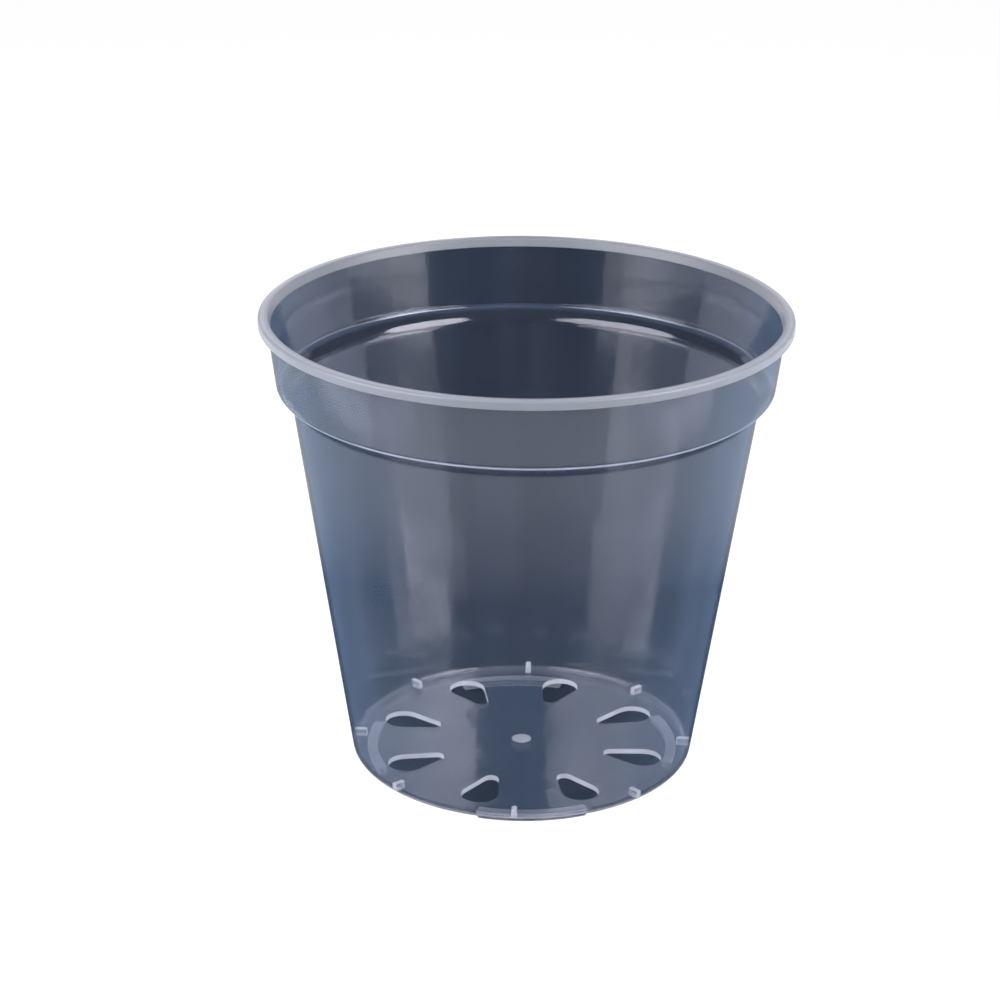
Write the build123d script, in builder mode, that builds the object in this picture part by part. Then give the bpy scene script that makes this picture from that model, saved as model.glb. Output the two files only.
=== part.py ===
import os
from math import asin, atan2, cos, degrees, radians, sin

from build123d import *

# Driving dimensions of a clear orchid pot, in millimetres and degrees
rim_diameter = 120.0
rim_height = 2.0
rim_corner_round = 0.5
lip_overhang = 2.0
mouth_flare = 0.5
mouth_edge_round = 0.3
collar_height = 14.3
collar_taper = 1.8
shoulder_height = 2.1
shoulder_step = 3.2
shoulder_round = 2.0
wall_height = 89.2
wall_taper = 13.3
wall_thickness = 0.8
base_round = 2.5
floor_thickness = 1.2

foot_names = ["foot_right", "foot_back", "foot_left", "foot_front"]
foot_height = 1.7
foot_width = 2.4
foot_length = 24.6
foot_inset = 3.1
foot_draft = 0.3

drain_count = 8
drain_length = 13.8
drain_inset = 5.4
drain_wide_diameter = 8.6
drain_narrow_diameter = 3.6

lug_count = 8
lug_width = 1.45
lug_height = 1.5
lug_reach = 2.4
lug_turn = -6.5

gate_diameter = 5.0
gate_height = 0.4

# Levels, from the flat of the feet at zero up to the rim
floor_under = foot_height
floor_top = floor_under + floor_thickness
shoulder_level = floor_under + wall_height
collar_level = shoulder_level + shoulder_height
lip_level = collar_level + collar_height
pot_height = lip_level + rim_height

# Radii of the outside, each stepped in from the one above it
rim_radius = rim_diameter / 2
collar_top_radius = rim_radius - lip_overhang
collar_bottom_radius = collar_top_radius - collar_taper
shoulder_radius = collar_bottom_radius - shoulder_step
base_radius = shoulder_radius - wall_taper

# The inside follows the outside at the wall's thickness
wall_slope = wall_taper / wall_height
collar_slope = collar_taper / collar_height
ledge_angle = atan2(shoulder_height, shoulder_step)
ledge_rise = wall_thickness * (1 - sin(ledge_angle)) / cos(ledge_angle)
ledge_inside_level = shoulder_level + ledge_rise
collar_inside_level = collar_level + ledge_rise
ledge_inside_radius = shoulder_radius + wall_slope * ledge_rise - wall_thickness
collar_inside_radius = collar_bottom_radius + collar_slope * ledge_rise - wall_thickness
collar_mouth_radius = collar_top_radius - wall_thickness
mouth_radius = collar_mouth_radius + mouth_flare
floor_inside_radius = base_radius + wall_slope * floor_thickness - wall_thickness

# Where one moulded section ends and the next begins
floor_seam = base_radius - base_round
corner_seam = floor_top + base_round
collar_seam = collar_inside_level + shoulder_round
beyond = rim_radius + rim_height

os.makedirs("parts", exist_ok=True)


def radial_plane(angle):
    """Upright plane through the pot's axis, turned by an angle from the X axis."""
    turn = radians(angle)
    return Plane((0, 0, 0), x_dir=(cos(turn), sin(turn), 0), z_dir=(sin(turn), -cos(turn), 0))


def keep(inner, outer, bottom, top):
    """Keep only the stretch of a half section between two radii and two levels."""
    with Locations(((inner + outer) / 2, (bottom + top) / 2)):
        Rectangle(outer - inner, top - bottom, mode=Mode.INTERSECT)


def round_corner(sketch, radius, corner):
    """Round the corner of a half section that lies at a given radius and level."""
    fillet(sketch.vertices().sort_by_distance((*corner, 0))[0], radius)


# Half section of the space inside the pot
with BuildSketch() as cavity:
    with BuildLine():
        Polyline(
            (0, floor_top),
            (floor_inside_radius, floor_top),
            (ledge_inside_radius, ledge_inside_level),
            (collar_inside_radius, collar_inside_level),
            (collar_mouth_radius, lip_level),
            (mouth_radius, pot_height),
            (0, pot_height),
            close=True,
        )
    make_face()
    round_corner(cavity, base_round - wall_thickness, (floor_inside_radius, floor_top))
    round_corner(cavity, shoulder_round - wall_thickness, (collar_inside_radius, collar_inside_level))

# Half section of the moulded wall, floor and rim
with BuildSketch() as moulding:
    with BuildLine():
        Polyline(
            (0, floor_under),
            (base_radius, floor_under),
            (shoulder_radius, shoulder_level),
            (collar_bottom_radius, collar_level),
            (collar_top_radius, lip_level),
            (rim_radius, lip_level),
            (rim_radius, pot_height),
            (0, pot_height),
            close=True,
        )
    make_face()
    round_corner(moulding, base_round, (base_radius, floor_under))
    round_corner(moulding, shoulder_round, (collar_bottom_radius, collar_level))
    round_corner(moulding, rim_corner_round, (rim_radius, pot_height))
    add(cavity.sketch_local, mode=Mode.SUBTRACT)
    round_corner(moulding, mouth_edge_round, (mouth_radius, pot_height))

# Thick lip around the mouth, the part the pot is lifted by
with BuildPart() as rim_lip:
    with BuildSketch(Plane.XZ):
        add(moulding.sketch_local)
        keep(0, beyond, lip_level, pot_height)
    revolve(axis=Axis.Z)
rim_lip.part.label = "rim_lip"
export_step(rim_lip.part, "parts/rim_lip.step")

# Upper band between the lip and the shoulder
with BuildPart() as collar_band:
    with BuildSketch(Plane.XZ):
        add(moulding.sketch_local)
        keep(0, beyond, collar_seam, lip_level)
    revolve(axis=Axis.Z)
collar_band.part.label = "collar_band"
export_step(collar_band.part, "parts/collar_band.step")

# Sloping step where the band turns in to the wall
with BuildPart() as shoulder_ledge:
    with BuildSketch(Plane.XZ):
        add(moulding.sketch_local)
        keep(0, beyond, shoulder_level, collar_seam)
    revolve(axis=Axis.Z)
shoulder_ledge.part.label = "shoulder_ledge"
export_step(shoulder_ledge.part, "parts/shoulder_ledge.step")

# Tapered wall
with BuildPart() as side_wall:
    with BuildSketch(Plane.XZ):
        add(moulding.sketch_local)
        keep(0, beyond, corner_seam, shoulder_level)
    revolve(axis=Axis.Z)
side_wall.part.label = "side_wall"
export_step(side_wall.part, "parts/side_wall.step")

# Rounded corner between the wall and the floor
with BuildPart() as base_corner:
    with BuildSketch(Plane.XZ):
        add(moulding.sketch_local)
        keep(floor_seam, beyond, floor_under, corner_seam)
    revolve(axis=Axis.Z)
base_corner.part.label = "base_corner"
export_step(base_corner.part, "parts/base_corner.step")

# Floor with its ring of drain slots, each a pear-shaped hole that narrows inward
drain_outer_end = base_radius - drain_inset
drain_inner_end = drain_outer_end - drain_length

with BuildSketch() as drain_slot:
    with Locations((drain_outer_end - drain_wide_diameter / 2, 0)):
        Circle(drain_wide_diameter / 2)
    with Locations((drain_inner_end + drain_narrow_diameter / 2, 0)):
        Circle(drain_narrow_diameter / 2)
    make_hull()

with BuildPart() as floor_disc:
    with BuildSketch(Plane.XZ):
        add(moulding.sketch_local)
        keep(0, floor_seam, floor_under, floor_top)
    revolve(axis=Axis.Z)
    with BuildSketch(Plane.XY.offset(floor_under)):
        with PolarLocations(0, drain_count, start_angle=180 / drain_count):
            add(drain_slot.sketch_local)
    extrude(amount=floor_thickness, mode=Mode.SUBTRACT)
floor_disc.part.label = "floor_disc"
export_step(floor_disc.part, "parts/floor_disc.step")

# Round mark under the floor's centre, where the plastic entered the mould
with BuildPart() as gate_mark:
    with BuildSketch(Plane.XY.offset(floor_under - gate_height)):
        Circle(gate_diameter / 2)
    extrude(amount=gate_height)
gate_mark.part.label = "gate_mark"
export_step(gate_mark.part, "parts/gate_mark.step")

# Curved feet under the floor, drafted so that they narrow downward
foot_radius = base_radius - foot_inset - foot_width / 2

for number, foot_name in enumerate(foot_names):
    with BuildPart() as foot:
        for level, inset in ((0, foot_draft), (foot_height, 0)):
            half_width = foot_width / 2 - inset
            half_angle = degrees(asin((foot_length / 2 - inset) / foot_radius))
            start = 360 * number / len(foot_names) - half_angle
            with BuildSketch(Plane.XY.offset(level)):
                with BuildLine():
                    inner_arc = CenterArc((0, 0), foot_radius - half_width, start, 2 * half_angle)
                    outer_arc = CenterArc((0, 0), foot_radius + half_width, start, 2 * half_angle)
                    Line(inner_arc @ 0, outer_arc @ 0)
                    Line(inner_arc @ 1, outer_arc @ 1)
                make_face()
        loft()
    foot.part.label = foot_name
    export_step(foot.part, f"parts/{foot_name}.step")

# Stacking lugs in the corner of the floor, which keep nested pots from jamming
lug_inner_radius = floor_inside_radius - lug_reach
lug_angle = degrees(lug_width / (floor_inside_radius - lug_reach / 2))

for number in range(lug_count):
    lug_start = 360 * number / lug_count + lug_turn - lug_angle / 2
    with BuildPart() as stacking_lug:
        with BuildSketch(radial_plane(lug_start)):
            add(cavity.sketch_local)
            keep(lug_inner_radius, beyond, floor_top, floor_top + lug_height)
        revolve(axis=Axis.Z, revolution_arc=lug_angle)
    stacking_lug.part.label = f"stacking_lug_{number + 1}"
    export_step(stacking_lug.part, f"parts/stacking_lug_{number + 1}.step")
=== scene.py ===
import math

import bmesh
import bpy
from mathutils import Matrix, Vector


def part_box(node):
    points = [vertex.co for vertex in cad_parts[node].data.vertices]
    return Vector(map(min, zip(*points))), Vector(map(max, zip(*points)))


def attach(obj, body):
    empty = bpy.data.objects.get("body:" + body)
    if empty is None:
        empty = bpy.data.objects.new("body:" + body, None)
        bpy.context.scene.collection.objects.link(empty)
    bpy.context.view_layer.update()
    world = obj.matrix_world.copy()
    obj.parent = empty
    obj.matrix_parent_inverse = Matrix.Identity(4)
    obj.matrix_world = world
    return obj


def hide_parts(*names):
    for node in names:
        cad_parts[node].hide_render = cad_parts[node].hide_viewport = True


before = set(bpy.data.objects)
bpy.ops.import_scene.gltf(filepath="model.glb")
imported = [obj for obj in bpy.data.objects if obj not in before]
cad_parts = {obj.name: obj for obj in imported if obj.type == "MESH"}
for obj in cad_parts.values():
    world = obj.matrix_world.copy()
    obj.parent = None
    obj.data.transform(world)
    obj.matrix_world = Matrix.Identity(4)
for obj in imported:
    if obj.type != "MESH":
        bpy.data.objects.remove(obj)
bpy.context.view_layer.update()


def levelsOf(node):
    low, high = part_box(node)
    return low.z, high.z


def radiusOf(node):
    low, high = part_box(node)
    return min(high.x, high.y, -low.x, -low.y)


# Sizes shared by the pieces, in metres, read from the CAD frame where it holds them
floorUnder, floorTop = levelsOf("floor_disc")
lipLevel, potHeight = levelsOf("rim_lip")
shoulderLevel = levelsOf("side_wall")[1]
rimRadius = radiusOf("rim_lip")

potShell = {
    "wallThickness": 0.0008,
    "lipOverhang": 0.0020,
    "rimRound": 0.0006,
    "mouthFlare": 0.0005,
    "mouthRound": 0.0004,
    "collarTaper": 0.0018,
    "shoulderHeight": 0.0021,
    "shoulderStep": 0.0032,
    "shoulderRound": 0.0020,
    "ledgeDrop": 0.0006,  # lowers the outer end of the ledge inside
    "ledgeRound": 0.0003,  # hollow corner above the ledge
    "creaseRound": 0.0050,  # inner edge of the ledge
    "hollowRound": 0.0020,  # hollow corner under the shoulder
    "baseRound": 0.0025,
    "segments": 240,
    "arcSteps": 8,
    "supportGap": 0.0004,  # extra rings beside each curve keep the flats flat
}

# Radii of the outside, each stepped in from the one above it
collarTopRadius = rimRadius - potShell["lipOverhang"]
collarBottomRadius = collarTopRadius - potShell["collarTaper"]
shoulderRadius = collarBottomRadius - potShell["shoulderStep"]
baseRadius = radiusOf("floor_disc") + potShell["baseRound"]
collarLevel = shoulderLevel + potShell["shoulderHeight"]
wallSlope = (shoulderRadius - baseRadius) / (shoulderLevel - floorUnder)
floorInsideRadius = baseRadius + wallSlope * (floorTop - floorUnder) - potShell["wallThickness"]

mergeGap = 1e-7  # points closer than this are one point
faceGap = 1e-6  # a face this close to a level counts as on it
weldGap = 1e-6  # clears slivers where the floor's spokes meet the tips of the slots
turnedTo = 0.9  # a face counts as turned to an axis from this share of its normal
sharpCorner = 35  # degrees; flatter corners are shaded smooth


def roundCorners(corners, steps):
    # corners are (radius, level, round); each rounded one becomes an arc
    path = []
    for i, (radius, level, rounding) in enumerate(corners):
        here = Vector((radius, level))
        if not rounding:
            path.append(here)
            continue
        before = (Vector(corners[i - 1][:2]) - here).normalized()
        after = (Vector(corners[i + 1][:2]) - here).normalized()
        half = before.angle(after) / 2
        centre = here + (before + after).normalized() * rounding / math.sin(half)
        start = here + before * rounding / math.tan(half) - centre
        end = here + after * rounding / math.tan(half) - centre
        sweep = math.atan2(start.x * end.y - start.y * end.x, start.dot(end))
        for step in range(steps + 1):
            path.append(centre + Matrix.Rotation(sweep * step / steps, 2) @ start)
    return path


def addSupports(path, gap):
    supported = [path[0]]
    for here, there in zip(path, path[1:]):
        run = there - here
        if run.length > 4 * gap:
            supported += [here + run.normalized() * gap, there - run.normalized() * gap]
        supported.append(there)
    return supported


def smoothMesh(mesh, sharpAngle):
    mesh.shade_smooth()
    mesh.set_sharp_from_angle(angle=math.radians(sharpAngle))


def finishMesh(name, bm, sharpAngle=sharpCorner):
    bmesh.ops.remove_doubles(bm, verts=bm.verts, dist=mergeGap)
    bmesh.ops.recalc_face_normals(bm, faces=bm.faces)
    mesh = bpy.data.meshes.new(name)
    bm.to_mesh(mesh)
    bm.free()
    smoothMesh(mesh, sharpAngle)
    piece = bpy.data.objects.new(name, mesh)
    bpy.context.scene.collection.objects.link(piece)
    return piece


def markLitFaces(piece, isLit):
    # the faces that catch the light, which the finish paints pale and nearly solid as a painted highlight,
    # apart from the clear sides
    marks = piece.data.attributes.new("litFace", "FLOAT", "FACE")
    for face in piece.data.polygons:
        marks.data[face.index].value = 1.0 if isLit(face) else 0.0
    return piece


def spinPath(path, segments):
    # turns a path that starts and ends on the axis into a closed solid
    bm = bmesh.new()
    turns = [math.tau * k / segments for k in range(segments)]
    rings = []
    for point in path[1:-1]:
        rings.append([bm.verts.new((point.x * math.cos(t), point.x * math.sin(t), point.y)) for t in turns])
    first = bm.verts.new((0, 0, path[0].y))
    last = bm.verts.new((0, 0, path[-1].y))
    for k in range(segments):
        n = (k + 1) % segments
        bm.faces.new((first, rings[0][n], rings[0][k]))
        bm.faces.new((last, rings[-1][k], rings[-1][n]))
        for lower, upper in zip(rings, rings[1:]):
            bm.faces.new((lower[k], lower[n], upper[n], upper[k]))
    return bm


def loftOutlines(outlines):
    # joins outlines of equal length into a closed solid
    bm = bmesh.new()
    loops = [[bm.verts.new(p) for p in outline] for outline in outlines]
    for lower, upper in zip(loops, loops[1:]):
        for k in range(len(lower)):
            n = (k + 1) % len(lower)
            bm.faces.new((lower[k], lower[n], upper[n], upper[k]))
    bm.faces.new(reversed(loops[0]))
    bm.faces.new(loops[-1])
    return bm


def makeShell(s):
    thick = s["wallThickness"]
    ledgeAngle = math.atan2(s["shoulderHeight"], s["shoulderStep"])
    rise = thick * (1 - math.sin(ledgeAngle)) / math.cos(ledgeAngle)  # keeps the ledge as thick as the wall
    corners = [
        (0, floorUnder, 0),
        (baseRadius, floorUnder, s["baseRound"]),
        (shoulderRadius, shoulderLevel, s["hollowRound"]),
        (collarBottomRadius, collarLevel, s["shoulderRound"]),
        (collarTopRadius, lipLevel, 0),
        (rimRadius, lipLevel, s["mouthRound"] / 2),
        (rimRadius, potHeight, s["rimRound"]),
        (collarTopRadius - thick + s["mouthFlare"], potHeight, s["mouthRound"]),
        (collarTopRadius - thick, lipLevel, 0),
        (collarBottomRadius - thick, collarLevel + rise - s["ledgeDrop"], s["ledgeRound"]),
        (shoulderRadius + wallSlope * rise - thick, shoulderLevel + rise, s["creaseRound"]),
        (floorInsideRadius, floorTop, s["baseRound"] - thick),
        (0, floorTop, 0),
    ]
    path = addSupports(roundCorners(corners, s["arcSteps"]), s["supportGap"])
    bm = spinPath(path, s["segments"])
    for face in bm.faces:
        face.material_index = 1 if face.calc_center_median().z > lipLevel - faceGap else 0  # 1 is the rim's
    return finishMesh("potShell", bm)


drainSlots = {"count": 8, "turn": 22.5, "inset": 0.0054, "length": 0.0138, "wide": 0.0086, "narrow": 0.0036,
              "arcSteps": 20, "overcut": 0.002}


def makeSlotCutter(s):
    outerEnd = baseRadius - s["inset"]
    wide, narrow = s["wide"] / 2, s["narrow"] / 2
    outer, inner = outerEnd - wide, outerEnd - s["length"] + narrow
    lean = math.acos((wide - narrow) / (outer - inner))  # where the straight flanks leave the two circles
    outline = []
    for centre, radius, start, sweep in ((outer, wide, math.pi - lean, 2 * lean - math.tau),
                                         (inner, narrow, lean - math.pi, -2 * lean)):
        for step in range(s["arcSteps"] + 1):
            turn = start + sweep * step / s["arcSteps"]
            outline.append((centre + radius * math.cos(turn), radius * math.sin(turn)))
    levels = (floorUnder - s["overcut"], floorTop + s["overcut"])
    return finishMesh("slotCutter", loftOutlines([[(x, y, z) for x, y in outline] for z in levels]))


feet = {"count": 4, "width": 0.0024, "inset": 0.0031, "length": 0.0246, "draft": 0.0003, "steps": 28,
        "edgeRound": 0.00025, "sunk": 0.0002}
footOutside = baseRadius - feet["inset"]
footInside = footOutside - feet["width"]


def makeFoot(s):
    middle = baseRadius - s["inset"] - s["width"] / 2
    outlines = []
    for level, inset in ((0, s["draft"] + s["edgeRound"]), (s["edgeRound"], s["draft"]),
                         (floorUnder + s["sunk"], 0)):
        half = s["width"] / 2 - inset
        reach = math.asin((s["length"] / 2 - inset) / middle)
        turns = [-reach + 2 * reach * k / s["steps"] for k in range(s["steps"] + 1)]
        outline = [((middle + half) * math.cos(t), (middle + half) * math.sin(t), level) for t in turns]
        turns.reverse()
        outline += [((middle - half) * math.cos(t), (middle - half) * math.sin(t), level) for t in turns]
        outlines.append(outline)
    return finishMesh("feet", loftOutlines(outlines))


lugs = {"count": 8, "turn": -6.5, "width": 0.00145, "height": 0.0015, "reach": 0.0024, "taper": 0.00012,
        "edgeRound": 0.0002, "sunk": 0.0003, "sharpAngle": 60}


def makeLug(s):
    half = s["width"] / 2
    inner = floorInsideRadius - s["reach"]
    top = floorTop + s["height"]
    outlines = []
    for level, taper in ((floorTop - s["sunk"], 0), (top - s["edgeRound"], s["taper"]),
                         (top, s["taper"] + s["edgeRound"])):
        outer = floorInsideRadius + wallSlope * (level - floorTop) + s["sunk"]  # buried in the wall
        x, y = inner + taper, half - taper
        outlines.append([(x, y - s["edgeRound"], level), (x, s["edgeRound"] - y, level),
                         (x + s["edgeRound"], -y, level), (outer, -y, level), (outer, y, level),
                         (x + s["edgeRound"], y, level)])
    piece = finishMesh("stackingLugs", loftOutlines(outlines), s["sharpAngle"])
    return markLitFaces(piece, lambda face: abs(face.normal.y) < turnedTo)  # inner end and top


gateMark = {"radius": 0.0025, "depth": 0.0004, "nub": 0.0008, "segments": 48, "arcSteps": 6, "sunk": 0.0011}


def makeGateMark(s):
    low = floorUnder - s["depth"]
    corners = [
        (0, low + s["nub"] / 4, 0),
        (s["nub"] / 2, low + s["nub"] / 4, 0),
        (s["nub"], low, 0),
        (s["radius"], low, s["depth"] / 2),
        (s["radius"] - s["depth"] / 2, floorUnder + s["sunk"], 0),
        (0, floorUnder + s["sunk"], 0),
    ]
    piece = finishMesh("gateMark", spinPath(roundCorners(corners, s["arcSteps"]), s["segments"]))
    return markLitFaces(piece, lambda face: face.normal.z > turnedTo)


# Geometry Nodes

def newTree(name, inputs):
    tree = bpy.data.node_groups.new(name, "GeometryNodeTree")
    for label, kind in inputs:
        tree.interface.new_socket(label, in_out="INPUT", socket_type=kind)
    tree.interface.new_socket("Geometry", in_out="OUTPUT", socket_type="NodeSocketGeometry")
    return tree, tree.nodes.new("NodeGroupInput"), tree.nodes.new("NodeGroupOutput")


def ringNodes(tree, source, geometry):
    # copies of a geometry, turned about the pot's axis
    points = tree.nodes.new("GeometryNodePoints")
    index = tree.nodes.new("GeometryNodeInputIndex")
    step = tree.nodes.new("ShaderNodeMath")
    step.operation = "DIVIDE"
    step.inputs[0].default_value = math.tau
    turn = tree.nodes.new("ShaderNodeMath")
    turn.operation = "MULTIPLY_ADD"
    spin = tree.nodes.new("ShaderNodeCombineXYZ")
    copies = tree.nodes.new("GeometryNodeInstanceOnPoints")
    real = tree.nodes.new("GeometryNodeRealizeInstances")
    tree.links.new(source.outputs["Count"], points.inputs["Count"])
    tree.links.new(source.outputs["Count"], step.inputs[1])
    tree.links.new(index.outputs[0], turn.inputs[0])
    tree.links.new(step.outputs[0], turn.inputs[1])
    tree.links.new(source.outputs["Turn"], turn.inputs[2])
    tree.links.new(turn.outputs[0], spin.inputs["Z"])
    tree.links.new(points.outputs[0], copies.inputs["Points"])
    tree.links.new(geometry, copies.inputs["Instance"])
    tree.links.new(spin.outputs[0], copies.inputs["Rotation"])
    tree.links.new(copies.outputs[0], real.inputs[0])
    return real.outputs[0]


def setMaterialNode(tree, source, geometry):
    paint = tree.nodes.new("GeometryNodeSetMaterial")
    tree.links.new(geometry, paint.inputs["Geometry"])
    tree.links.new(source.outputs["Material"], paint.inputs["Material"])
    return paint.outputs[0]


def ringTree():
    tree, source, result = newTree("ringOfCopies", [
        ("Geometry", "NodeSocketGeometry"), ("Count", "NodeSocketInt"), ("Turn", "NodeSocketFloat"),
        ("Material", "NodeSocketMaterial")])
    ring = ringNodes(tree, source, source.outputs["Geometry"])
    tree.links.new(setMaterialNode(tree, source, ring), result.inputs[0])
    return tree


def slotTree():
    tree, source, result = newTree("drainSlots", [
        ("Geometry", "NodeSocketGeometry"), ("Cutter", "NodeSocketObject"), ("Count", "NodeSocketInt"),
        ("Turn", "NodeSocketFloat"), ("Material", "NodeSocketMaterial")])
    cutter = tree.nodes.new("GeometryNodeObjectInfo")
    cut = tree.nodes.new("GeometryNodeMeshBoolean")
    cut.operation = "DIFFERENCE"
    cut.solver = "EXACT"
    tree.links.new(source.outputs["Cutter"], cutter.inputs["Object"])
    ring = ringNodes(tree, source, cutter.outputs["Geometry"])
    tree.links.new(source.outputs["Geometry"], cut.inputs["Mesh 1"])
    tree.links.new(setMaterialNode(tree, source, ring), cut.inputs["Mesh 2"])  # cut faces take this material
    weld = tree.nodes.new("GeometryNodeMergeByDistance")
    weld.inputs["Distance"].default_value = weldGap
    tree.links.new(cut.outputs[0], weld.inputs["Geometry"])
    tree.links.new(weld.outputs[0], result.inputs[0])
    return tree


def runTree(piece, tree, values, sharpAngle=sharpCorner):
    modifier = piece.modifiers.new(tree.name, "NODES")
    modifier.node_group = tree
    for item in tree.interface.items_tree:
        if item.in_out == "INPUT" and item.name in values:
            modifier[item.identifier] = values[item.name]
    evaluated = piece.evaluated_get(bpy.context.evaluated_depsgraph_get())
    mesh = bpy.data.meshes.new_from_object(evaluated)
    piece.modifiers.remove(modifier)
    piece.data = mesh
    mesh.name = piece.name
    smoothMesh(mesh, sharpAngle)


# Shader nodes

def addNode(tree, kind, **values):
    node = tree.nodes.new(kind)
    for name, value in values.items():
        if hasattr(node, name):
            setattr(node, name, value)
        else:
            node.inputs[name].default_value = value
    return node


def link(tree, source, target):
    tree.links.new(source, target)


def feed(tree, value, socket):
    # a number or colour is set on the socket, anything else is linked to it
    if isinstance(value, tuple):
        socket.default_value = (*value, 1)
    elif isinstance(value, float):
        socket.default_value = value
    else:
        link(tree, value, socket)


def mixColour(tree, factor, first, second):
    mix = addNode(tree, "ShaderNodeMix", data_type="RGBA")
    for value, socket in ((factor, 0), (first, 6), (second, 7)):  # the sockets of its colour form
        feed(tree, value, mix.inputs[socket])
    return mix.outputs[2]


def mixValue(tree, factor, first, second):
    mix = addNode(tree, "ShaderNodeMix", data_type="FLOAT")
    for value, socket in ((factor, 0), (first, 2), (second, 3)):  # the sockets of its number form
        feed(tree, value, mix.inputs[socket])
    return mix.outputs[0]


def mathNode(tree, operation, first, second):
    node = addNode(tree, "ShaderNodeMath", operation=operation)
    feed(tree, first, node.inputs[0])
    feed(tree, second, node.inputs[1])
    return node.outputs[0]


def remap(tree, value, before, after, interpolation="LINEAR"):
    node = addNode(tree, "ShaderNodeMapRange", interpolation_type=interpolation)
    for label, number in zip(("From Min", "From Max", "To Min", "To Max"), (*before, *after)):
        feed(tree, number, node.inputs[label])
    link(tree, value, node.inputs["Value"])
    return node.outputs[0]


def newGroup(name, inputs, outputs):
    group = bpy.data.node_groups.new(name, "ShaderNodeTree")
    for label in inputs:
        group.interface.new_socket(label, in_out="INPUT", socket_type="NodeSocketFloat")
    for label in outputs:
        group.interface.new_socket(label, in_out="OUTPUT", socket_type="NodeSocketFloat")
    return group, group.nodes.new("NodeGroupInput"), group.nodes.new("NodeGroupOutput")


mouldGrain = {"flowStretch": 0.06, "flowShare": 0.6, "detail": {"Flow": 2.0, "Cloud": 2.0, "Scuff": 4.0}}


def mouldMarksGroup(s):
    # faint flow lines down the wall, cloudiness and fine scuffs of moulded polypropylene
    group, source, result = newGroup("mouldMarks", ("Flow Scale", "Cloud Scale", "Scuff Scale"),
                                     ("Flow", "Cloud", "Scuff", "Height"))
    place = group.nodes.new("ShaderNodeTexCoord").outputs["Object"]
    stretch = addNode(group, "ShaderNodeMapping")
    stretch.inputs["Scale"].default_value = (1, 1, s["flowStretch"])
    link(group, place, stretch.inputs["Vector"])
    noises = {}
    for label, detail in s["detail"].items():
        noise = addNode(group, "ShaderNodeTexNoise", Detail=detail)
        link(group, stretch.outputs[0] if label == "Flow" else place, noise.inputs["Vector"])
        link(group, source.outputs[label + " Scale"], noise.inputs["Scale"])
        noises[label] = noise.outputs["Fac"]
        link(group, noise.outputs["Fac"], result.inputs[label])
    height = addNode(group, "ShaderNodeMath", operation="MULTIPLY_ADD")
    height.inputs[1].default_value = s["flowShare"]
    link(group, noises["Flow"], height.inputs[0])
    link(group, noises["Cloud"], height.inputs[2])
    link(group, height.outputs[0], result.inputs["Height"])
    return group


def ringMaskGroup():
    # 1 within the core of a ring at one radius and level, fading to 0 at its reach
    group, source, result = newGroup("ringMask", ("Radius", "Level", "Core", "Reach"), ("Mask",))
    place = group.nodes.new("ShaderNodeTexCoord")
    parts = group.nodes.new("ShaderNodeSeparateXYZ")
    link(group, place.outputs["Object"], parts.inputs[0])
    flat = group.nodes.new("ShaderNodeCombineXYZ")
    link(group, parts.outputs["X"], flat.inputs["X"])
    link(group, parts.outputs["Y"], flat.inputs["Y"])
    radius = addNode(group, "ShaderNodeVectorMath", operation="LENGTH")
    link(group, flat.outputs[0], radius.inputs[0])
    offset = group.nodes.new("ShaderNodeCombineXYZ")
    sides = ((radius.outputs["Value"], "Radius", "X"), (parts.outputs["Z"], "Level", "Y"))
    for value, origin, target in sides:
        gap = mathNode(group, "SUBTRACT", value, source.outputs[origin])
        link(group, gap, offset.inputs[target])
    distance = addNode(group, "ShaderNodeVectorMath", operation="LENGTH")
    link(group, offset.outputs[0], distance.inputs[0])
    span = (source.outputs["Core"], source.outputs["Reach"])
    fade = remap(group, distance.outputs["Value"], span, (1.0, 0.0), "SMOOTHSTEP")
    link(group, fade, result.inputs["Mask"])
    return group


# Finishes of the plastic
mouldMarks = mouldMarksGroup(mouldGrain)
ringMask = ringMaskGroup()


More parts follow.
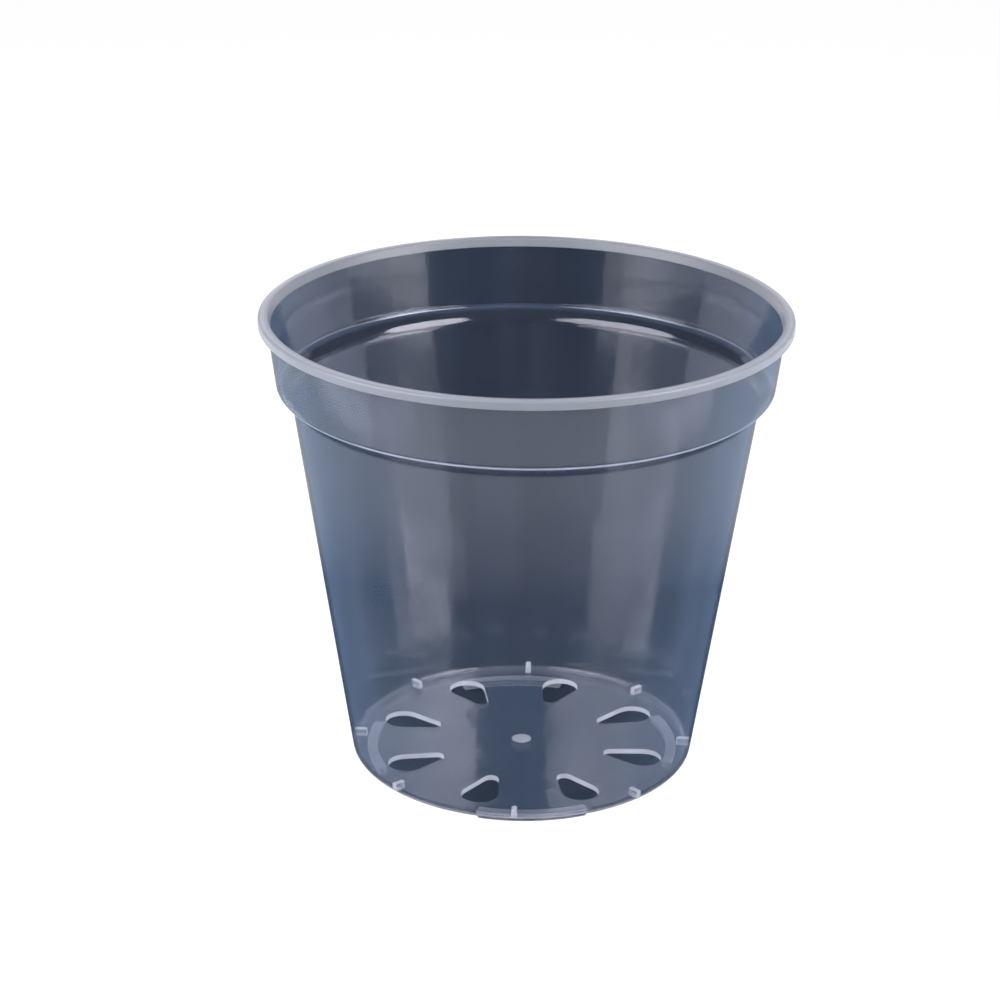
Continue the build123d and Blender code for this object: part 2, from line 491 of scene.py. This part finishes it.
def plasticFinish(name, look):
    # clear smoky plastic: more solid where it is seen edge-on; rings at the bends hold painted highlights and
    # painted shade, and the rim's tint inside the mouth
    material = bpy.data.materials.new(name)
    material.use_nodes = True
    tree = material.node_tree
    shader = tree.nodes["Principled BSDF"]
    shader.inputs["IOR"].default_value = look["ior"]  # above plastic's 1.5, because alpha thins the gloss
    detail = addNode(tree, "ShaderNodeGroup", node_tree=mouldMarks)
    detail.inputs["Flow Scale"].default_value = look["flowScale"]
    detail.inputs["Cloud Scale"].default_value = look["cloudScale"]
    detail.inputs["Scuff Scale"].default_value = look["scuffScale"]
    edgeOn = addNode(tree, "ShaderNodeLayerWeight", Blend=look["edgeBlend"]).outputs["Facing"]
    colour = mixColour(tree, edgeOn, look["colour"], look["edgeColour"])
    solid = mixValue(tree, edgeOn, look["alpha"], look["edgeAlpha"])
    inside = tree.nodes.new("ShaderNodeNewGeometry").outputs["Backfacing"]
    if "alphaBehind" in look:
        solid = mixValue(tree, inside, solid, look["alphaBehind"])
    outside = remap(tree, edgeOn, *look["bendFade"])  # fades where the surface turns away
    outside = mathNode(tree, "MULTIPLY", outside, mathNode(tree, "SUBTRACT", 1.0, inside))
    # each ring mixes in its colour and cover: painted highlights, painted shade, and the rim's plain tint
    # inside the mouth
    for radius, level, core, reach, tint, cover, coverBehind in look["bends"].values():
        bend = addNode(tree, "ShaderNodeGroup", node_tree=ringMask)
        bend.inputs["Radius"].default_value = radius
        bend.inputs["Level"].default_value = level
        bend.inputs["Core"].default_value = core
        bend.inputs["Reach"].default_value = reach
        mask = bend.outputs["Mask"]
        if coverBehind is None:
            mask = mathNode(tree, "MULTIPLY", mask, outside)
        else:
            cover = mixValue(tree, inside, cover, coverBehind)
        colour = mixColour(tree, mask, colour, tint)
        solid = mixValue(tree, mask, solid, cover)
    # faces that catch the light keep the pale, nearly solid painted highlight; the other sides are clearer
    if "clearSides" in look:
        lit = addNode(tree, "ShaderNodeAttribute", attribute_name="litFace")
        solid = mixValue(tree, lit.outputs["Fac"], look["clearSides"], solid)
    uneven = (1 - look["unevenness"], 1 + look["unevenness"])
    shade = addNode(tree, "ShaderNodeVectorMath", operation="SCALE")
    link(tree, colour, shade.inputs[0])
    link(tree, remap(tree, detail.outputs["Flow"], look["flowRange"], uneven), shade.inputs["Scale"])
    link(tree, shade.outputs[0], shader.inputs["Base Color"])
    link(tree, solid, shader.inputs["Alpha"])
    rough = tuple(look["roughness"] * share for share in look["scuffRange"])
    link(tree, remap(tree, detail.outputs["Scuff"], (0.0, 1.0), rough), shader.inputs["Roughness"])
    bump = addNode(tree, "ShaderNodeBump", Strength=look["bump"], Distance=look["bumpDepth"])
    link(tree, detail.outputs["Height"], bump.inputs["Height"])
    link(tree, bump.outputs[0], shader.inputs["Normal"])
    return material


# ring colours: painted highlight, painted shade, and a darker painted shade for rings that also turn
# glossier; lipInside is the rim's tint inside the mouth
paintedHighlight = (0.80, 0.84, 0.92)
paintedShade = (0.12, 0.145, 0.19)
glossyPaintedShade = (0.062, 0.086, 0.130)
lipInside = (0.285, 0.308, 0.315)
wallLook = {
    "colour": (0.098, 0.144, 0.212),
    "edgeColour": (0.183, 0.302, 0.448),
    "alpha": 0.14,
    "edgeAlpha": 0.5,
    "edgeBlend": 0.22,
    "ior": 3.3,
    "roughness": 0.09,
    "scuffRange": (1.015, 1.065),  # shares of the roughness
    "bump": 0.45,
    "bumpDepth": 0.0005,
    "unevenness": 0.15,
    "flowRange": (0.3, 0.7),  # of the noise, for the full unevenness
    "flowScale": 110,
    "cloudScale": 40,
    "scuffScale": 900,
    "bendFade": ((0.30, 0.65), (1.0, 0.45)),  # from facing the eye to edge-on
    "bends": {
        # radius, level, core, reach, colour, cover where it faces the eye, cover from behind
        # painted shade, darker and glossier, over the ledge's rounded inner edge
        "ledgeCreasePaintedShade": (shoulderRadius - 0.0016, shoulderLevel + 0.0001, 0.0013, 0.0021,
                        glossyPaintedShade, 0.25, 0.30),
        # painted shade: dark lines in the hollow under the shoulder and on the ledge's underside
        "hollow": (shoulderRadius + 0.0006, shoulderLevel - 0.0005, 0.0006, 0.0011, paintedShade, 0.10, 0.12),
        "ledgeUnderPaintedShade": (shoulderRadius + 0.0012, shoulderLevel + 0.0003, 0.0006, 0.0013, paintedShade, 0.10, 0.12),
        # painted shade, darker and glossier, along the hollow corner above the ledge inside
        "shadeLine": (collarBottomRadius - 0.0008, collarLevel - 0.0001, 0.0003, 0.0006,
                      glossyPaintedShade, 0.75, None),
        # painted highlight: a pale line along the collar's bottom edge
        "paintedCollarHighlight": (collarBottomRadius + 0.0005, collarLevel - 0.0007, 0.0010, 0.0013,
                     paintedHighlight, 0.85, None),
        # painted highlight: a pale line along the base corner
        "paintedBaseHighlight": (baseRadius - 0.0003, floorUnder + 0.0003, 0.0007, 0.0020, paintedHighlight, 0.5, 0.2),
    },
}
rimLook = dict(
    wallLook, colour=(0.338, 0.372, 0.398), edgeColour=(0.34, 0.36, 0.36), alpha=0.72, edgeAlpha=0.95,
    ior=1.6, roughness=0.3, bump=0.04, unevenness=0.03,
    bends={"mouth": (collarTopRadius - 0.0005, lipLevel + 0.0010, 0.0010, 0.0018, lipInside, 0.66, 0.66)})
# painted highlight: the slots' cut faces are near white and nearly solid where they face the eye, clear from
# behind
slotEdgeLook = dict(
    wallLook, colour=(0.90, 0.93, 0.96), edgeColour=(0.9, 0.93, 0.96), alpha=0.93, edgeAlpha=0.95,
    alphaBehind=0.15, ior=1.5, roughness=0.3, bump=0.1, bends={})
# feet painted paler than the wall, with painted highlights along their top and edges
footLook = dict(
    wallLook, colour=(0.60, 0.64, 0.66), edgeColour=(0.72, 0.75, 0.77), alpha=0.25, edgeAlpha=0.9,
    ior=1.8, bump=0.1,
    bends={"top": (footOutside, floorUnder, 0.0001, 0.0004, paintedHighlight, 0.6, 0.5),
           "outerEdgePaintedHighlight": (footOutside - feet["draft"], 0.0001, 0.0001, 0.0004, paintedHighlight, 0.65, 0.5),
           "innerEdgePaintedHighlight": (footInside, 0.0002, 0.0002, 0.0005, paintedHighlight, 0.75, 0.5)})
# lugs and gate mark: faces that catch the light are painted pale and nearly solid (painted highlight), the
# other sides stay clearer
lugLook = dict(
    wallLook, colour=(0.86, 0.89, 0.93), edgeColour=(0.9, 0.92, 0.95), alpha=0.75, edgeAlpha=0.95,
    clearSides=0.25, ior=1.8, bump=0.1, bends={})
gateLook = dict(lugLook, colour=(0.70, 0.80, 0.78), alpha=0.95, clearSides=0.1)

wallPlastic = plasticFinish("wallPlastic", wallLook)
rimPlastic = plasticFinish("rimPlastic", rimLook)
slotEdgePlastic = plasticFinish("slotEdgePlastic", slotEdgeLook)
footPlastic = plasticFinish("footPlastic", footLook)
lugPlastic = plasticFinish("lugPlastic", lugLook)
gatePlastic = plasticFinish("gatePlastic", gateLook)
print("materials made")

# Pieces
ring = ringTree()

shell = makeShell(potShell)
shell.data.materials.append(wallPlastic)
shell.data.materials.append(rimPlastic)
cutter = makeSlotCutter(drainSlots)
runTree(shell, slotTree(), {"Cutter": cutter, "Count": drainSlots["count"],
                            "Turn": math.radians(drainSlots["turn"]), "Material": slotEdgePlastic})
bpy.data.objects.remove(cutter)
print("pot shell:", len(shell.data.polygons), "faces")

footRing = makeFoot(feet)
runTree(footRing, ring, {"Count": feet["count"], "Turn": 0.0, "Material": footPlastic})
lugRing = makeLug(lugs)
runTree(lugRing, ring, {"Count": lugs["count"], "Turn": math.radians(lugs["turn"]), "Material": lugPlastic},
        lugs["sharpAngle"])
gate = makeGateMark(gateMark)
gate.data.materials.append(gatePlastic)
print("feet, lugs and gate mark made")

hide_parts("rim_lip", "collar_band", "shoulder_ledge", "side_wall", "base_corner", "floor_disc")
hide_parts("foot_right", "foot_back", "foot_left", "foot_front")
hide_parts(*[f"stacking_lug_{k + 1}" for k in range(lugs["count"])])
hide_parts("gate_mark")
for piece in (shell, footRing, lugRing, gate):
    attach(piece, "root")

# Stage: pale floor, soft studio lamps and the photograph's camera
cameraAzimuth = -4.3  # degrees round from -Y


def standAt(azimuth, distance, level):
    turn = math.radians(azimuth)
    return Vector((math.sin(turn) * distance, -math.cos(turn) * distance, level))


def lookedAt(tree):
    # which rays look at the stage, which of them are reflections, and which come through the pot's plastic
    path = tree.nodes.new("ShaderNodeLightPath")
    seen = mathNode(tree, "ADD", path.outputs["Is Camera Ray"], path.outputs["Is Glossy Ray"])
    seen = mathNode(tree, "ADD", seen, path.outputs["Is Transmission Ray"])
    through = mathNode(tree, "GREATER_THAN", path.outputs["Transparent Depth"], 0.5)
    return mathNode(tree, "MINIMUM", seen, 1.0), path.outputs["Is Glossy Ray"], through


paleFloor = {
    "size": 6.0,
    "pale": (0.82, 0.82, 0.83),
    "dark": (0.012, 0.014, 0.019),
    "white": 1.2,
    "whiteShare": 0.8,  # the rest shows the lamps' light and the shadow
    "paintedShadowReach": (0.116, 0.192),  # painted shadow round the pot: reflections of the floor are dark nearer to the axis than this
    "mirrored": (1.30, 1.0),  # white of the floor in reflections, before and behind the pot
    "mirroredDepth": (-0.12, 0.08),  # along Y
    "polish": 0.08,
    "polishIor": 1.5,
    "glancing": (0.15, 0.45),  # of the Fresnel reflection, from matt to a full mirror
}


def floorMaterial(s):
    # white where it is seen past the pot, dark where it shows through the plastic, as in the photo's studio
    material = bpy.data.materials.new("paleFloor")
    material.use_nodes = True
    tree = material.node_tree
    tree.nodes.remove(tree.nodes["Principled BSDF"])
    looked, glossy, through = lookedAt(tree)
    place = tree.nodes.new("ShaderNodeTexCoord").outputs["Object"]
    distance = addNode(tree, "ShaderNodeVectorMath", operation="LENGTH")
    link(tree, place, distance.inputs[0])
    # painted shadow round the pot, seen only in reflections
    near = remap(tree, distance.outputs["Value"], s["paintedShadowReach"], (1.0, 0.0))
    mirrored = mathNode(tree, "MULTIPLY", glossy, near)
    hidden = mathNode(tree, "MULTIPLY", looked, mathNode(tree, "MAXIMUM", through, mirrored))
    shown = mathNode(tree, "SUBTRACT", 1.0, hidden)
    paint = tree.nodes.new("ShaderNodeBsdfDiffuse")
    link(tree, mixColour(tree, shown, s["dark"], s["pale"]), paint.inputs["Color"])
    gloss = addNode(tree, "ShaderNodeBsdfGlossy", Roughness=s["polish"])
    sheen = addNode(tree, "ShaderNodeFresnel", IOR=s["polishIor"])
    mirror = remap(tree, sheen.outputs[0], s["glancing"], (0.0, 1.0))
    polished = tree.nodes.new("ShaderNodeMixShader")  # reflections through the plastic see a polished table
    glossyThrough = mathNode(tree, "MULTIPLY", glossy, through)
    link(tree, mathNode(tree, "MULTIPLY", mirror, glossyThrough), polished.inputs[0])
    link(tree, paint.outputs[0], polished.inputs[1])
    link(tree, gloss.outputs[0], polished.inputs[2])
    parts = tree.nodes.new("ShaderNodeSeparateXYZ")
    link(tree, place, parts.inputs[0])
    mirroredWhite = remap(tree, parts.outputs["Y"], s["mirroredDepth"], s["mirrored"])
    white = tree.nodes.new("ShaderNodeEmission")
    link(tree, mixValue(tree, glossy, s["white"], mirroredWhite), white.inputs["Strength"])
    amount = mathNode(tree, "MULTIPLY", looked, shown)
    amount = mathNode(tree, "MULTIPLY", amount, mixValue(tree, glossy, s["whiteShare"], 1.0))
    blend = tree.nodes.new("ShaderNodeMixShader")
    link(tree, amount, blend.inputs[0])
    link(tree, polished.outputs[0], blend.inputs[1])
    link(tree, white.outputs[0], blend.inputs[2])
    link(tree, blend.outputs[0], tree.nodes["Material Output"].inputs["Surface"])
    return material


floorMesh = bpy.data.meshes.new("floor")
half = paleFloor["size"] / 2
floorCorners = [(-half, -half, 0), (half, -half, 0), (half, half, 0), (-half, half, 0)]
floorMesh.from_pydata(floorCorners, [], [(0, 1, 2, 3)])
floor = bpy.data.objects.new("floor", floorMesh)
bpy.context.scene.collection.objects.link(floor)
floor.data.materials.append(floorMaterial(paleFloor))

studio = {
    "ambient": 0.15,  # light from all round
    "ceiling": 0.1,
    "ceilingRise": (0.45, 0.8),  # from white walls to the ceiling
    "mirroredWalls": (0.1, 0.35),  # walls in reflections, on the camera's side and behind the pot
    "mirroredDepth": (-0.6, 0.2),  # along Y
    "throughPlastic": 0.02,
}


def studioWorld(s):
    world = bpy.data.worlds.new("studio")
    world.use_nodes = True
    tree = world.node_tree
    looked, glossy, through = lookedAt(tree)
    direction = tree.nodes.new("ShaderNodeTexCoord")
    parts = tree.nodes.new("ShaderNodeSeparateXYZ")
    link(tree, direction.outputs["Generated"], parts.inputs[0])
    walls = remap(tree, parts.outputs["Z"], s["ceilingRise"], (1.0, s["ceiling"]), "SMOOTHSTEP")
    room = remap(tree, parts.outputs["Y"], s["mirroredDepth"], s["mirroredWalls"], "SMOOTHSTEP")
    openLevel = mixValue(tree, glossy, walls, mathNode(tree, "MULTIPLY", walls, room))
    seenLevel = mixValue(tree, through, openLevel, s["throughPlastic"])
    link(tree, mixValue(tree, looked, s["ambient"], seenLevel), tree.nodes["Background"].inputs["Strength"])
    return world


bpy.context.scene.world = studioWorld(studio)

lampTint = (0.98, 0.96, 1.08)
# upright softboxes: turn from the camera and distance from the axis in plan, reach across and levels;
# bands share the width between brighter and dimmer strips
lamps = {
    "leftKey": dict(turn=-50, distance=0.42, across=(-0.16, 0.28), levels=(0.15, 0.30), radiance=1.9),
    "rightKey": dict(turn=57, distance=0.42, across=(-0.08, 0.23), levels=(0.15, 0.30), radiance=2.0),
    "leftHigh": dict(turn=-50, distance=0.42, across=(-0.26, 0.38), levels=(0.28, 0.74), radiance=4.3,
                     shape="ELLIPSE"),
    "rightHigh": dict(turn=57, distance=0.42, across=(-0.16, 0.26), levels=(0.28, 0.74), radiance=6.0,
                      shape="ELLIPSE"),
    "leftFar": dict(turn=-60, distance=1.00, across=(-0.32, 0.58), levels=(0.12, 0.165), radiance=1.3),
    "rightFar": dict(turn=60, distance=1.00, across=(-0.19, 0.32), levels=(0.12, 0.165), radiance=3.5),
    "rightWide": dict(turn=60, distance=1.00, across=(0.32, 0.58), levels=(0.12, 0.165), radiance=0.8),
    "leftFarTop": dict(turn=-60, distance=1.00, across=(-0.32, 0.58), levels=(0.178, 0.28), radiance=4.0),
    "rightFarTop": dict(turn=60, distance=1.00, across=(-0.19, 0.30), levels=(0.178, 0.28), radiance=7.0),
    "rightWideTop": dict(turn=60, distance=1.00, across=(0.30, 0.58), levels=(0.178, 0.28), radiance=3.0),
    "leftLow": dict(turn=-62, distance=0.20, across=(-0.060, 0.16), levels=(0.0, 0.014), radiance=1.15),
    "rightLow": dict(turn=62, distance=0.20, across=(-0.085, 0.085), levels=(0.0, 0.014), radiance=1.45,
                     bands=(0.56, 0.82, 1.05, 0.95, 0.9)),
    "leftRise": dict(turn=-62, distance=0.20, across=(-0.045, 0.16), levels=(0.014, 0.030), radiance=0.75),
    "rightRise": dict(turn=62, distance=0.20, across=(-0.043, 0.096), levels=(0.014, 0.030), radiance=0.95),
    "leftMiddle": dict(turn=-62, distance=0.20, across=(-0.036, 0.14), levels=(0.030, 0.0715), radiance=0.62,
                       bands=(1.9, 1.05, 0.75, 0.6, 0.6)),
    "rightMiddle": dict(turn=62, distance=0.20, across=(-0.038, 0.14), levels=(0.030, 0.0715), radiance=0.36),
    "leftTop": dict(turn=-62, distance=0.20, across=(-0.080, 0.15), levels=(0.0715, 0.16), radiance=1.4,
                    bands=(0.8, 1.2, 1.1, 0.9, 0.8)),
    "rightTop": dict(turn=62, distance=0.20, across=(-0.031, 0.15), levels=(0.0715, 0.16), radiance=1.65,
                     bands=(1.1, 1.05, 1.05, 0.95)),
    "leftSide": dict(turn=-112, distance=0.20, across=(-0.042, 0.26), levels=(0.043, 0.12), radiance=1.15),
    "rightSide": dict(turn=112, distance=0.20, across=(-0.042, 0.26), levels=(0.03, 0.12), radiance=1.0),
    "leftBehind": dict(turn=180, distance=0.25, across=(0.016, 0.12), levels=(0.06, 0.136), radiance=2.2),
    "rightBehind": dict(turn=180, distance=0.25, across=(-0.12, -0.0115), levels=(0.06, 0.19), radiance=1.3),
    "leftUpper": dict(turn=180, distance=0.25, across=(0.016, 0.12), levels=(0.136, 0.26), radiance=1.4),
    "rightUpper": dict(turn=180, distance=0.25, across=(-0.12, -0.0115), levels=(0.19, 0.26), radiance=0.9),
}


def addLight(name, width, height, radiance, place, aim, shape="RECTANGLE"):
    light = bpy.data.lights.new(name, "AREA")
    light.shape = shape
    light.color = lampTint
    light.size, light.size_y = width, height
    area = width * height * (math.pi / 4 if shape == "ELLIPSE" else 1)
    light.energy = radiance * math.pi * area
    holder = bpy.data.objects.new(name, light)
    bpy.context.scene.collection.objects.link(holder)
    holder.location = place
    holder.rotation_euler = (place - aim).to_track_quat("Z", "Y").to_euler()
    holder.visible_camera = False
    return holder


for name, lamp in lamps.items():
    (near, far), (low, high) = lamp["across"], lamp["levels"]
    facing = standAt(lamp["turn"] + cameraAzimuth, 1, 0)
    away = Vector((0, 0, 1)).cross(facing) * math.copysign(1, lamp["turn"])
    bands = lamp.get("bands", (1.0,))
    width = (far - near) / len(bands)
    for k, share in enumerate(bands):
        foot = away * (near + width * (k + 0.5)) + Vector((0, 0, (low + high) / 2))
        addLight(name, width, high - low, lamp["radiance"] * share, foot + facing * lamp["distance"], foot,
                 lamp.get("shape", "RECTANGLE"))

topFill = {"size": (0.4, 0.3), "radiance": 2.8, "place": (0, 0.001, 0.60)}
fill = addLight("topFill", *topFill["size"], topFill["radiance"], standAt(*topFill["place"]),
                Vector((0, 0, 0)))
fill.visible_glossy = False  # lights the inside without a reflection of its own
print("stage and lamps made")

camera = {
    "distance": 0.5971,  # from the pot's axis, in plan
    "overRim": 0.19304,
    "pitch": 21.78,
    "yaw": -0.536,  # away from the pot's axis
    "roll": 0.468,
    "focal": 2.799,  # in widths of the picture
    "sensor": 36.0,
}
heading = math.radians(camera["yaw"] - cameraAzimuth)  # compass heading of the view, clockwise from +Y
pitch, roll = math.radians(camera["pitch"]), math.radians(camera["roll"])
ahead = Vector((math.sin(heading) * math.cos(pitch), math.cos(heading) * math.cos(pitch), -math.sin(pitch)))
across = Vector((math.cos(heading), -math.sin(heading), 0))
upward = across.cross(ahead)
right = across * math.cos(roll) + upward * math.sin(roll)
up = upward * math.cos(roll) - across * math.sin(roll)
lens = bpy.data.cameras.new("photoCamera")
lens.sensor_width = camera["sensor"]
lens.lens = camera["focal"] * camera["sensor"]
eye = bpy.data.objects.new("photoCamera", lens)
bpy.context.scene.collection.objects.link(eye)
place = standAt(cameraAzimuth, camera["distance"], potHeight + camera["overRim"])
eye.matrix_world = Matrix.Translation(place) @ Matrix((right, up, -ahead)).transposed().to_4x4()
bpy.context.scene.camera = eye
bpy.context.scene.view_settings.view_transform = "Standard"
print("camera set")
